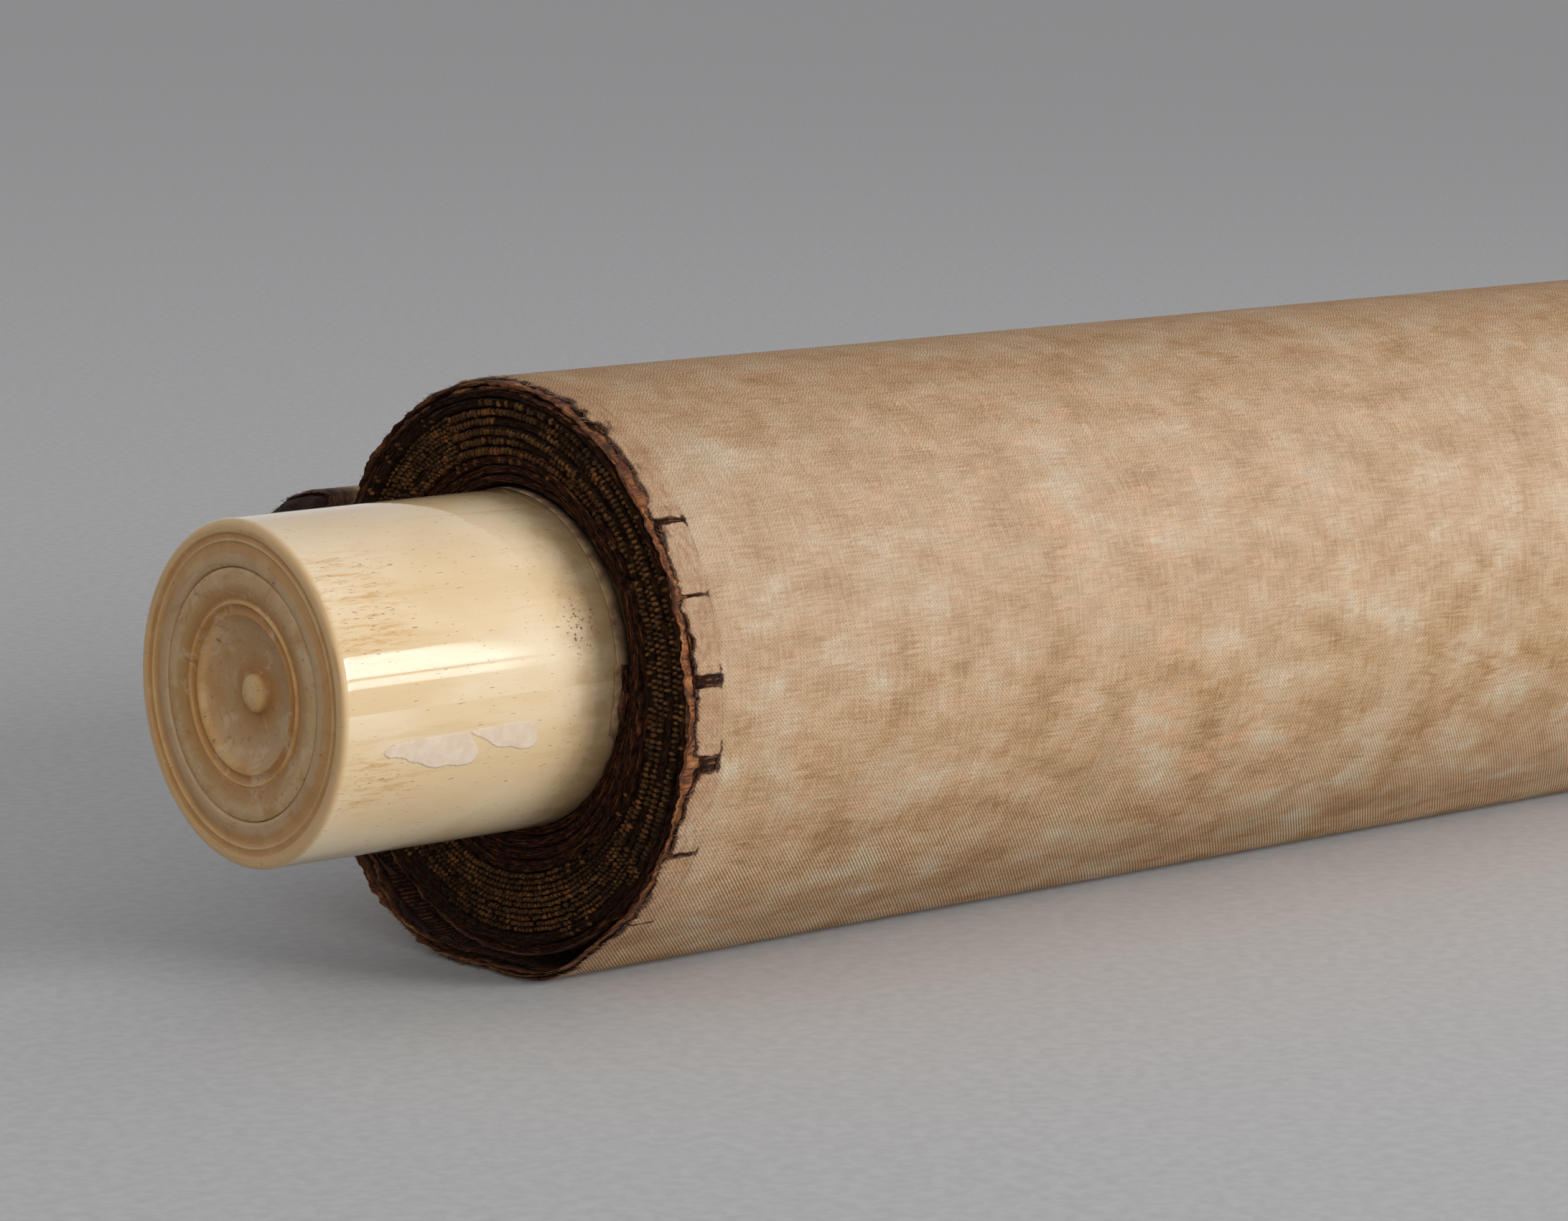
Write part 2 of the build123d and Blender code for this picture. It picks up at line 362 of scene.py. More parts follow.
class Nodes:
    """Short names for the nodes of a tree. A colour of three numbers is 0 to 255 sRGB, of four is linear."""

    def __init__(self, tree):
        self.tree = tree

    def put(self, socket, value):
        if isinstance(value, bpy.types.NodeSocket):
            self.tree.links.new(value, socket)
        else:
            socket.default_value = value

    def node(self, kind, values=(), **settings):
        """A new node with its settings, and its first sockets filled with the values."""
        n = self.tree.nodes.new(kind)
        for key, value in settings.items():
            setattr(n, key, value)
        for socket, value in zip(n.inputs, values):
            self.put(socket, value)
        return n

    def math(self, operation, *values):
        return self.node("ShaderNodeMath", values, operation=operation).outputs[0]

    def times(self, a, b):
        return self.math("MULTIPLY", a, b)

    def plus(self, a, b):
        return self.math("ADD", a, b)

    def minus(self, a, b):
        return self.math("SUBTRACT", a, b)

    def ramp(self, value, lo, hi, kind="SMOOTHSTEP"):
        """0 below lo, 1 above hi."""
        return self.node("ShaderNodeMapRange", (value, lo, hi), interpolation_type=kind).outputs["Result"]

    def window(self, value, lo, hi, soft):
        """1 between lo and hi, 0 outside, with soft edges."""
        return self.times(self.ramp(value, lo - soft, lo + soft), self.ramp(value, hi + soft, hi - soft))

    def scaled(self, vector, scale, shift=(0, 0, 0)):
        n = self.node("ShaderNodeMapping", (vector, shift))
        n.inputs["Scale"].default_value = scale
        return n.outputs[0]

    def noise(self, vector, scale, detail=3.0, rough=0.55, distort=0.0, shift=(0, 0, 0)):
        """Noise whose scale is one number, or one each for X and Y."""
        if isinstance(scale, tuple):
            vector, scale = self.scaled(vector, (*scale, 1), shift), 1.0
        n = self.node("ShaderNodeTexNoise", (vector,))
        values = {"Scale": scale, "Detail": detail, "Roughness": rough, "Distortion": distort}
        for key, value in values.items():
            n.inputs[key].default_value = value
        return n.outputs["Fac"]

    def mix(self, share, a, b):
        n = self.node("ShaderNodeMix", (share,), data_type="RGBA")
        for socket, value in ((n.inputs[6], a), (n.inputs[7], b)):
            plain = isinstance(value, tuple) and len(value) == 3
            self.put(socket, srgb(*value) if plain else value)
        return n.outputs[2]

    def tint(self, base, colour, amount, share):
        """The base with an amount of a colour where the share is 1."""
        return self.mix(self.times(share, amount), base, colour)

    def stain(self, base, colour, amount, value, lo, hi):
        """The base with an amount of a colour where the value is past hi, and less of it down to lo."""
        return self.tint(base, colour, amount, self.ramp(value, lo, hi))

    def colours(self, value, stops):
        n = self.node("ShaderNodeValToRGB", (value,))
        places = n.color_ramp.elements
        while len(places) < len(stops):
            places.new(0.5)
        for place, (position, colour) in zip(places, stops):
            place.position = position
            place.color = srgb(*colour)
        return n.outputs[0]

    def bump(self, height, distance, strength, normal=None):
        n = self.node("ShaderNodeBump", (strength, distance))
        self.put(n.inputs["Height"], height)
        if normal is not None:
            self.put(n.inputs["Normal"], normal)
        return n.outputs[0]

    def uv(self):
        return self.node("ShaderNodeUVMap", uv_map="cloth").outputs[0]

    def place(self):
        return self.node("ShaderNodeTexCoord").outputs["Object"]

    def dirt(self):
        return self.node("ShaderNodeAttribute", attribute_name="dirt").outputs["Fac"]

    def split(self, vector):
        return self.node("ShaderNodeSeparateXYZ", (vector,)).outputs

    def join(self, x, y, z=0.0):
        return self.node("ShaderNodeCombineXYZ", (x, y, z)).outputs[0]

    def seen(self):
        """1 for rays that show the background: from the camera, in gloss and through glass."""
        path = self.node("ShaderNodeLightPath").outputs
        direct = self.math("MAXIMUM", path["Is Camera Ray"], path["Is Glossy Ray"])
        return self.math("MAXIMUM", direct, path["Is Transmission Ray"])


class Shade(Nodes):
    """A node material round one Principled shader."""

    def __init__(self, name, **sockets):
        self.mat = bpy.data.materials.new(name)
        self.mat.use_nodes = True
        super().__init__(self.mat.node_tree)
        self.bsdf = self.tree.nodes["Principled BSDF"]
        for key, value in sockets.items():
            self.bsdf.inputs[key.replace("_", " ")].default_value = value

    def finish(self, colour, normal=None):
        """Gives the material, with its colour and relief set."""
        self.put(self.bsdf.inputs["Base Color"], colour)
        if normal is not None:
            self.put(self.bsdf.inputs["Normal"], normal)
        return self.mat


def srgb(r, g, b):
    """A colour given as 0 to 255 sRGB, as the linear colour that a shader takes."""
    def linear(c):
        c /= 255
        return c / 12.92 if c <= 0.04045 else ((c + 0.055) / 1.055) ** 2.4
    return (linear(r), linear(g), linear(b), 1.0)


# Materials


def silk_material():
    """Old plain silk. UV is in mm: U round the roll, V along it. The attribute dirt darkens worn places."""
    s = Shade("cover_silk", Roughness=0.65, Specular_IOR_Level=0.2)
    uv = s.uv()
    u, v = s.split(uv)[:2]
    # Stains creep along the threads, so each thread shifts the pattern a little
    weft_pull = s.minus(s.noise(uv, (2.6, 0.035), 2, 0.7), 0.5)
    warp_pull = s.minus(s.noise(uv, (0.05, 2.6), 2, 0.7), 0.5)
    crept = s.join(s.plus(u, s.times(warp_pull, 3.0)), s.plus(v, s.times(weft_pull, 6.0)))
    tone = s.noise(crept, (0.20, 0.13), 5, 0.62, 0.3)
    base = s.colours(tone, [
        (0.34, (168, 124, 78)), (0.43, (187, 147, 103)), (0.50, (198, 161, 120)),
        (0.58, (206, 175, 139)), (0.68, (218, 200, 172))])
    brown = s.noise(crept, (0.36, 0.24), 4, 0.62, 0.3, shift=(3, 8, 0))
    base = s.stain(base, (160, 114, 62), 0.42, brown, 0.56, 0.70)
    grey = s.noise(crept, (0.16, 0.11), 5, 0.65, 0.4, shift=(11, 2, 0))
    base = s.stain(base, (192, 176, 146), 0.42, grey, 0.53, 0.68)
    rosy_zone = s.noise(uv, (0.035, 0.02), 3, 0.6, shift=(2, 17, 0))
    rosy = s.noise(crept, (1.1, 0.16), 4, 0.65, 0.2, shift=(6, 4, 0))
    rosy = s.times(s.ramp(rosy, 0.50, 0.62), s.ramp(rosy_zone, 0.38, 0.60))
    base = s.tint(base, (228, 174, 132), 0.62, rosy)
    # Painted shade: a darker yellow-brown tint over the top of the roll, where less light falls. Painted
    # light: a paler tint over the upper front, where the lamps fall most
    base = s.tint(base, (166, 120, 68), 0.58, s.window(u, *S_PAINTED_SHADE_TOP, 14.0))
    base = s.tint(base, (216, 192, 168), 0.28, s.window(u, *S_PAINTED_LIGHT_FRONT, 9.0))
    # Single threads, paler or darker than the rest for some way
    fine_a = s.noise(uv, (6.0, 0.35), 2, 0.6)
    fine_b = s.noise(uv, (0.35, 6.0), 2, 0.6)
    fine = s.times(s.plus(fine_a, fine_b), 0.5)
    darker = s.mix(0.18, base, (112, 80, 50))
    paler = s.mix(0.20, base, (240, 220, 192))
    base = s.mix(s.ramp(fine, 0.40, 0.60), darker, paler)
    # Weave: threads both ways, with slight wander
    wander = s.noise(uv, (0.6, 0.6), 2)
    sway = s.times(s.minus(wander, 0.5), 0.7)
    warp = s.math("SINE", s.times(s.plus(u, sway), WARP_RADIANS_PER_MM))
    weft = s.math("SINE", s.times(s.plus(v, sway), WEFT_RADIANS_PER_MM))
    weave = s.times(warp, weft)
    base = s.stain(base, (110, 80, 52), 0.18, weave, 0.9, -0.9)
    # Fold over the roll's end: spotted, pinkish, with a broken dirty crease
    edge_d = s.minus(END_X, s.math("ABSOLUTE", v))
    specks = s.noise(uv, (1.1, 1.8), 4, 0.7)
    fold = s.ramp(edge_d, 4.0, 3.4)
    base = s.tint(base, (164, 120, 88), 0.22, fold)
    base = s.stain(base, (168, 124, 94), s.times(fold, 0.7), specks, 0.46, 0.62)
    breaks = s.noise(uv, (0.5, 0.2), 3, 0.6, shift=(9, 0, 0))
    crease = s.times(s.window(edge_d, 3.62, 3.78, 0.10), s.ramp(breaks, 0.46, 0.60))
    base = s.tint(base, (112, 80, 60), 0.45, crease)
    dirty = s.mix(s.ramp(specks, 0.42, 0.62), (46, 27, 18), (98, 66, 46))
    soiled = s.plus(s.dirt(), s.times(s.minus(specks, 0.5), 0.7))
    base = s.mix(s.ramp(soiled, 0.15, 0.75), base, dirty)
    threads = s.bump(weave, 0.00006, 0.6)
    slubs = s.bump(fine, 0.00014, 0.6, threads)
    return s.finish(base, s.bump(tone, 0.0005, 0.25, slubs))


def edge_material():
    """The cut edges of the turns. U is mm along the sheet, V runs from -1, inner face, to 1, outer face."""
    s = Shade("sheet_edges", Roughness=0.9, Specular_IOR_Level=0.08)
    uv = s.uv()
    ux = s.split(uv)[0]
    grain = s.noise(uv, (1.1, 2.5), 4, 0.7)
    fibre = s.noise(uv, (0.5, 3.4), 3, 0.65)
    length = s.math("DIVIDE", ux, S_END)
    patch = s.minus(s.noise(uv, (0.03, 0), 2), 0.5)
    zone = s.plus(length, s.times(patch, 0.16))
    base = s.colours(zone, [
        (0.0, (74, 43, 28)), (0.24, (68, 38, 25)), (0.32, (58, 37, 22)), (0.76, (56, 36, 21)),
        (0.86, (64, 36, 23)), (1.0, (68, 39, 25))])
    base = s.mix(s.ramp(grain, 0.62, 0.40), base, (20, 11, 6))
    # Pale torn fibres follow the plies, most of all in the inner and outer turns
    pale = s.times(s.ramp(fibre, 0.54, 0.66), s.minus(1.0, s.window(zone, 0.30, 0.80, 0.06)))
    base = s.tint(base, (138, 82, 46), 0.85, pale)
    base = s.stain(base, (112, 82, 52), 0.4, fibre, 0.60, 0.72)
    return s.finish(base, s.bump(grain, 0.0002, 0.7))


def under_cloth_material():
    """The brown cloth face of the sheet that shows through the cover's notches and in the loose turn."""
    s = Shade("under_cloth", Roughness=0.85, Specular_IOR_Level=0.25)
    uv = s.uv()
    ux = s.split(uv)[0]
    grain = s.noise(uv, (1.1, 1.1), 4, 0.7)
    rows = s.math("SINE", s.times(s.plus(ux, s.times(grain, 0.6)), 12.0))
    threads = s.times(s.ramp(rows, -0.2, 0.8), s.ramp(grain, 0.38, 0.58))
    last = s.ramp(ux, S_LAST - 2, S_LAST)
    base = s.mix(grain, (26, 15, 11), (66, 39, 28))
    base = s.tint(base, (146, 92, 54), s.times(last, 0.75), threads)
    return s.finish(base, s.bump(rows, 0.0001, 0.8))


def torn_material():
    """Torn orange-brown cloth: pale broken fibres over dark glue. U runs along the sheet, V across a ply."""
    s = Shade("torn_edge", Roughness=0.8, Specular_IOR_Level=0.3)
    uv = s.uv()
    streak = s.noise(uv, (0.35, 1.6), 4, 0.65, 0.3)
    fine = s.noise(uv, (3.0, 2.0), 3, 0.7)
    base = s.colours(streak, [
        (0.36, (56, 31, 20)), (0.46, (106, 62, 35)), (0.55, (156, 96, 53)), (0.68, (200, 142, 90))])
    base = s.stain(base, (52, 29, 21), 0.75, fine, 0.56, 0.38)
    # The lower part of the roll and the loose turn are darker with dirt
    base = s.mix(s.dirt(), base, (56, 32, 23))
    return s.finish(base, s.bump(streak, 0.0002, 0.8))


def bead_material():
    """Thread ends, each its own shade of dull tan."""
    s = Shade("weft_ends", Roughness=0.8, Specular_IOR_Level=0.12)
    p = s.place()
    shade = s.noise(p, 700.0, 3, 0.7)
    patch = s.noise(p, 150.0, 2, 0.6)
    base = s.colours(shade, [(0.32, (54, 35, 20)), (0.5, (88, 61, 35)), (0.68, (148, 98, 54))])
    base = s.stain(base, (104, 64, 38), 0.6, patch, 0.54, 0.68)
    base = s.stain(base, (40, 27, 18), 0.75, patch, 0.46, 0.34)
    return s.finish(base)


def knob_coordinates(s):
    """For bone, in mm and degrees: distance out from the roll's end, radius, angle, and place on the end."""
    x, y, z = s.split(s.place())
    out = s.minus(s.times(s.math("ABSOLUTE", x), 1000), END_X)
    dy = s.minus(s.times(y, 1000), AXIS[0])
    dz = s.minus(s.times(z, 1000), AXIS[1])
    r = s.math("SQRT", s.plus(s.times(dy, dy), s.times(dz, dz)))
    angle = s.math("DEGREES", s.math("ARCTAN2", dz, dy))
    return out, r, angle, dy, dz


def bone_material():
    """Polished bone tube: cream side with brown grain dashes, orange-brown turned rim."""
    s = Shade("bone", Specular_IOR_Level=0.38, Subsurface_Weight=0.10,
              Subsurface_Radius=(0.0020, 0.0012, 0.0006), Subsurface_Scale=1.0)
    out, r, angle, dy, dz = knob_coordinates(s)
    arc = s.times(angle, radians(KNOB_R))
    side = s.join(out, arc, s.times(s.math("SIGN", s.split(s.place())[0]), 40.0))
    cloud = s.noise(side, (0.05, 0.09), 3, 0.5, 0.3)
    base = s.mix(s.ramp(cloud, 0.36, 0.64), (232, 204, 160), (243, 222, 187))
    streaks = s.noise(side, (0.04, 0.5), 3, 0.6, shift=(3, 0, 0))
    base = s.stain(base, (222, 184, 130), 0.35, streaks, 0.56, 0.68)
    # Grain dashes run along the tube, in two patches next to the outer end and thinly elsewhere
    warm = s.math("MAXIMUM", s.window(angle, 124, 162, 7), s.window(angle, -166, -146, 6))
    patch = s.times(warm, s.window(out, 21.5, 29.5, 3.0))
    stain = s.noise(side, (0.32, 2.2), 4, 0.7, 0.3, shift=(7, 3, 0))
    tint = s.times(s.ramp(stain, 0.47, 0.64), s.plus(s.times(patch, 0.50), 0.05))
    base = s.mix(tint, base, (208, 152, 78))
    dash = s.noise(side, (0.9, 6.5), 2, 0.6, 0.2, shift=(1, 6, 0))
    dash = s.plus(dash, s.times(patch, 0.035))
    dashes = s.ramp(dash, 0.675, 0.72)
    base = s.tint(base, (140, 88, 44), 0.85, dashes)
    # Tan haze and dirt where the tube enters the roll, painted shade over the top of the tube, and a cluster
    # of dark specks at the front
    grime = s.noise(side, (0.35, 0.5), 4, 0.65, shift=(1, 5, 0))
    root = s.plus(s.ramp(out, 9.0, -1.0), s.times(s.minus(grime, 0.5), 1.1))
    base = s.stain(base, (178, 136, 84), 0.75, root, 0.15, 1.10)
    # Painted shade: a tan tint over the top of the tube, where less light falls
    base = s.tint(base, (196, 150, 96), 0.22, s.window(angle, 70, 118, 20))
    speck = s.noise(side, (2.6, 3.0), 3, 0.7, shift=(2, 2, 0))
    cluster = s.times(s.window(angle, 152, 170, 6), s.window(out, 2.0, 5.5, 1.2))
    speck = s.plus(speck, s.times(cluster, 0.10))
    specks = s.times(s.ramp(speck, 0.665, 0.71), s.ramp(out, 13.0, 4.0))
    base = s.tint(base, (84, 56, 34), 0.85, specks)
    # Turned end: bands by radius
    end = s.colours(s.ramp(r, 10.0, 15.0, "LINEAR"), [
        (0.0, (206, 162, 112)), (0.20, (208, 174, 132)), (0.38, (202, 166, 122)),
        (0.43, (204, 154, 96)), (0.60, (206, 158, 100)), (0.63, (228, 188, 130)),
        (0.66, (206, 158, 100)), (0.75, (200, 148, 88)), (0.79, (226, 186, 132)),
        (1.0, (238, 200, 148))])
    face = s.join(dy, dz)
    inner = s.ramp(r, 13.95, 13.75)
    mottle = s.noise(face, 0.35, 4, 0.65, 0.5)
    brown = s.times(s.ramp(mottle, 0.50, 0.68), s.plus(s.times(inner, 0.3), 0.08))
    end = s.mix(brown, end, (176, 122, 66))
    end = s.stain(end, (222, 190, 140), 0.35, mottle, 0.48, 0.34)
    rings = s.noise(s.join(r, s.times(angle, 0.012), 3.0), 2.2, 3, 0.6)
    end = s.stain(end, (150, 102, 56), 0.30, rings, 0.54, 0.70)
    pits = s.noise(s.join(dy, dz, 3.0), 1.5, 3, 0.7)
    end = s.stain(end, (96, 66, 42), 0.7, pits, 0.67, 0.72)
    on_end = s.ramp(out, 28.6, 29.1)
    base = s.mix(on_end, base, end)
    polish = s.noise(side, (0.05, 3.5), 3, 0.6, shift=(0, 4, 0))
    drawn = s.bump(polish, 0.000004, 0.2)
    s.put(s.bsdf.inputs["Roughness"], s.plus(0.06, s.times(on_end, 0.38)))
    return s.finish(base, s.bump(dashes, 0.00002, -0.3, drawn))


def bone_disc_material():
    """The turned bone disc: tan rings, greyer in the dish, with small cracks and stains."""
    s = Shade("bone_disc", Roughness=0.42, Specular_IOR_Level=0.42, Subsurface_Weight=0.05,
              Subsurface_Radius=(0.0015, 0.0009, 0.0005))
    _, r, angle, dy, dz = knob_coordinates(s)
    base = s.colours(s.ramp(r, 0.0, 11.0, "LINEAR"), [
        (0.0, (232, 196, 138)), (0.13, (224, 182, 120)), (0.17, (172, 116, 56)),
        (0.25, (190, 140, 80)), (0.34, (194, 154, 106)), (0.57, (200, 162, 114)),
        (0.60, (220, 176, 116)), (0.635, (186, 130, 66)), (0.69, (188, 132, 68)),
        (0.71, (224, 176, 110)), (0.75, (182, 128, 66)), (0.83, (198, 154, 98)),
        (0.89, (214, 178, 130)), (0.98, (210, 172, 122)), (1.0, (112, 74, 40))])
    face = s.join(dy, dz)
    mottle = s.noise(face, 0.28, 4, 0.65, 0.6)
    base = s.stain(base, (190, 138, 76), 0.55, mottle, 0.50, 0.64)
    base = s.stain(base, (224, 196, 160), 0.50, mottle, 0.47, 0.36)
    smudge = s.noise(face, (0.7, 1.1), 5, 0.75, shift=(3, 1, 0))
    base = s.stain(base, (146, 114, 74), 0.62, smudge, 0.55, 0.70)
    rings = s.noise(s.join(r, s.times(angle, 0.012), 5.0), 2.4, 3, 0.6)
    base = s.stain(base, (156, 108, 58), 0.25, rings, 0.56, 0.70)
    pits = s.noise(face, (1.8, 0.8), 3, 0.75)
    base = s.stain(base, (92, 64, 40), 0.7, pits, 0.64, 0.70)
    return s.finish(base, s.bump(mottle, 0.0004, 0.2))


def mottled_material(name, dark, light, scale, rough, stretch=(1, 1, 1), bump=0.0002, metallic=0.0):
    """Two shades in patches, scale of them to a metre, drawn out where stretch is under 1."""
    s = Shade(name, Roughness=rough, Metallic=metallic)
    n = s.noise(s.scaled(s.place(), stretch), scale, 4, 0.6, 0.3)
    return s.finish(s.mix(s.ramp(n, 0.35, 0.65), dark, light), s.bump(n, bump, 0.4))


# Pieces


def turn_of(s):
    """How many turns out from the roller a length along the sheet lies."""
    k = PITCH / (2 * pi)
    return (sqrt(FIRST_R ** 2 + 2 * k * s) - FIRST_R) / PITCH


def edge_reach(s, turn, end):
    """How far a turn's cut edge stands out past the end plane, in mm, at a length along the sheet."""
    slow = 0.45 * nz(s / 38, turn, seed=end + 2) + 0.25 * nz(s / 9, seed=end + 5)
    slow += 0.55 * nz(turn * 1.7, sin(2 * pi * turn), cos(2 * pi * turn), seed=end + 6)
    rim = -0.5 * max(0.0, turn - 9.6) + 0.25 * exp(-((turn - 3.2) / 1.5) ** 2)
    return slow + rim


def strip_faces(count, cols):
    """Faces of a closed strip of count vertices in rings of cols, with a face over each end."""
    faces = grid_faces(count // cols, cols, wrap_cols=True)
    return faces + [tuple(range(cols)), tuple(reversed(range(count - cols, count)))]


def make_sheet_body():
    """All the turns, a plain strip from edge zone to edge zone."""
    half = SHEET_THICK / 2
    outer = [END_X - BODY_SETBACK, END_X - 4, END_X - 12, 150, 75]
    xs = [-x for x in outer] + [0] + outer[::-1]
    ring = [(x, half) for x in xs] + [(x, -half) for x in reversed(xs)]
    verts, uvs = [], []
    for p, n, s in zip(*sample(PATH + HEM, BODY_STEP)):
        verts += [off_line(x, p, n, h) for x, h in ring]
        uvs += [(s, x) for x, _ in ring]
    return new_object("rolled_sheet_body", verts, strip_faces(len(verts), len(ring)), uvs, outward=True)


def local_pitch(n):
    """Distance from one turn to the next where the sheet's outward normal is n."""
    lean = n[0] * SETTLE_DIR[0] + n[1] * SETTLE_DIR[1]
    return PITCH + DRIFT * lean


def make_sheet_edge(name, end):
    """The cut edge of every turn at one end: swollen plies that nearly meet the next turn's."""
    side = ENDS[end][1]
    root = side * (END_X - EDGE_ROOT)
    across = np.linspace(1, -1, 11)
    verts, uvs = [], []
    for p, n, s in zip(*sample(PATH + HEM, EDGE_STEPS[end])):
        turn = turn_of(s)
        reach = edge_reach(s, turn, end)
        half = SHEET_THICK / 2
        pitch = local_pitch(n)
        if turn < TURNS - 0.45:
            half = max(half, pitch * (0.47 + 0.04 * nz(s / 6, 4.0, seed=end)))
        sway = 0.0
        if 0.6 < turn < TURNS - 0.45:
            sway = 0.11 * nz(s / 7, seed=end + 15) + 0.06 * nz(s / 1.8, seed=end + 16)
        groove = 0.12 + 0.55 * max(0.0, pitch - 0.8)
        at = 0.4 * nz(s / 6, seed=end + 14)
        verts.append(off_line(root, p, n, half + 0.004))
        for t in across:
            ply = -0.5 * t ** 4 - groove * exp(-((t - at) / 0.2) ** 2)
            ragged = 0.20 * nz(s / 1.3, t * 2.2, seed=end + 7) + 0.13 * nz(s / 0.45, t * 3, seed=end + 3)
            verts.append(off_line(side * (END_X + reach + ply + ragged), p, n, half * t + sway))
        verts.append(off_line(root, p, n, -half - 0.004))
        uvs += [(s, v) for v in (1.3, *across, -1.3)]
    cols = len(across) + 2
    return new_object(name, verts, grid_faces(len(verts) // cols, cols), uvs)


def bead_zone(turn, angle):
    """How likely a thread end shows, by turn and by the angle round the axis: 1 in the middle turns."""
    # Inner and outer limits in turns at back, top, front and bottom
    around = (0, 90, 180, 270, 360)
    inner = np.interp(angle % 360, around, (3.5, 2.2, 4.4, 3.0, 3.5))
    outer = np.interp(angle % 360, around, (8.4, 9.2, 10.5, 9.0, 8.4))
    return unit(turn - inner) * unit(outer - turn)


def make_beads(name, end, rng):
    """Little thread ends standing in rows along the cut edges of the middle turns."""
    side = ENDS[end][1]
    verts, faces = [], []
    around, rings = 6, 3
    for p, n, s in zip(*sample(PATH[:-5], BEAD_SPACING)):
        turn = turn_of(s)
        angle = degrees(atan2(p[1] - AXIS[1], p[0] - AXIS[0]))
        if rng.random() > bead_zone(turn, angle) or nz(s / 11, seed=end + 11) < -0.42:
            continue
        pitch = local_pitch(n)
        rows = (-0.25, 0.25) if pitch > 0.9 else (0.0,)
        for row in rows:
            if rng.random() < 0.05:
                continue
            reach = END_X + edge_reach(s, turn, end) + rng.uniform(-0.10, 0.06)
            shift = row * pitch + rng.uniform(-0.06, 0.06)
            foot = off_line(0, p, n, shift, rng.uniform(-0.06, 0.06))[1:]
            wide = pitch * rng.uniform(0.36, 0.48) / len(rows)
            thick = rng.uniform(0.17, 0.23)
            deep = rng.uniform(0.20, 0.32)
            lean = rng.uniform(-0.35, 0.35)
            base = len(verts)
            for i in range(1, rings + 1):
                tilt = pi / 2 * (i - 0.4) / rings
                w = cos(tilt) * deep if i < rings else -0.2
                for c, t in circle(around):
                    u = sin(tilt) * c * wide
                    v = sin(tilt) * t * thick + u * lean * 0.4
                    verts.append(off_line(side * (reach + w), foot, n, u, v))
            top = len(verts)
            verts.append((side * (reach + deep), *foot))
            faces += [(top, base + j, base + (j + 1) % around) for j in range(around)]
            faces += grid_faces(rings, around, wrap_cols=True, base=base)
    return new_object(name, verts, faces)


def notch_lengths():
    """Where the notches lie along the sheet, in mm, with the rest of their sizes."""
    lengths = np.arange(S_LAST, S_LAST + path_length(PATH[-8:-6]), 0.05)
    pts, _ = along(PATH[-8:-6], lengths, S_LAST)
    angles = np.degrees(np.arctan2(pts[:, 1] - ROLL_CENTRE[1], pts[:, 0] - ROLL_CENTRE[0])) % 360
    return [(float(lengths[np.argmin(abs(angles - at))]), *sizes) for at, *sizes in NOTCHES]


NOTCH_S = notch_lengths()
S_TOP_DIRT = stretch(0, 95, 150)
# Lengths round the roll for the painted shade on the top and the painted light on the upper front
S_PAINTED_SHADE_TOP = stretch(0, 20, 112)
S_PAINTED_LIGHT_FRONT = stretch(0, 128, 178)


def cover_edge(s, end):
    """Distance from the end plane to the silk's worn edge, in mm."""
    d = COVER_SETBACK + 0.60 * nz(s / 3.6, seed=end + 1) + 0.50 * nz(s / 1.2, seed=end + 4)
    d += 0.25 * nz(s / 0.35, seed=end)
    if S_TOP_DIRT[0] < s < S_TOP_DIRT[1]:
        middle = 1 - abs(2 * s - sum(S_TOP_DIRT)) / (S_TOP_DIRT[1] - S_TOP_DIRT[0])
        d += middle * (0.35 + 0.6 * nz(s / 1.5, seed=end + 19))
    if end == 0:
        for at, width, _, _ in NOTCH_S:
            bend = 0.25 * nz(s / 0.8, at, seed=9)
            near = width / 2 + NOTCH_SIDE / 2 - abs(s - at + bend * 0.3)
            d += (HEM_CREASE - 0.15 + 0.3 * nz(s / 0.3, seed=6) - d) * unit(near / NOTCH_SIDE)
    return max(0.15, d)


def cover_dirt(s, d, edge, end):
    """How soiled the silk is, 0 to 1, at a length round the roll and d mm in from the end plane."""
    into = d - edge
    dirt = (0.85 + 0.9 * nz(s / 1.1, seed=51)) * exp(-(into / 0.2) ** 2)
    dirt += max(0.0, nz(s / 1.7, d / 0.9, seed=52 + end) - 0.12) * 1.2 * max(0.0, 1 - into / 3.2)
    if S_TOP_DIRT[0] < s < S_TOP_DIRT[1]:
        dirt += 0.7 * max(0.0, 0.55 + nz(s / 2.2, d / 0.6, seed=53)) * max(0.0, 1 - into / 1.5)
    if end == 0:
        for at, width, up, down in NOTCH_S:
            if abs(s - at) < 2.5 and d < 5:
                beside = max(0.0, abs(s - at) - width / 2)
                if d < HEM_CREASE:
                    dirt += (0.65 + 0.6 * nz(s, d / 0.5, seed=55)) * exp(-(beside / 0.16) ** 2)
                past = max(0.0, at - width / 2 - up - s, s - at - width / 2 - down)
                line = d - HEM_CREASE - 0.2 * nz(s / 0.6, seed=56)
                dirt += (0.7 + 0.5 * nz(s / 0.3, seed=57)) * exp(-(past / 0.2) ** 2 - (line / 0.15) ** 2)
    if s > S_HEM:
        dirt += max(0.0, 1.1 - into / 5.0)
    return min(1.0, dirt)


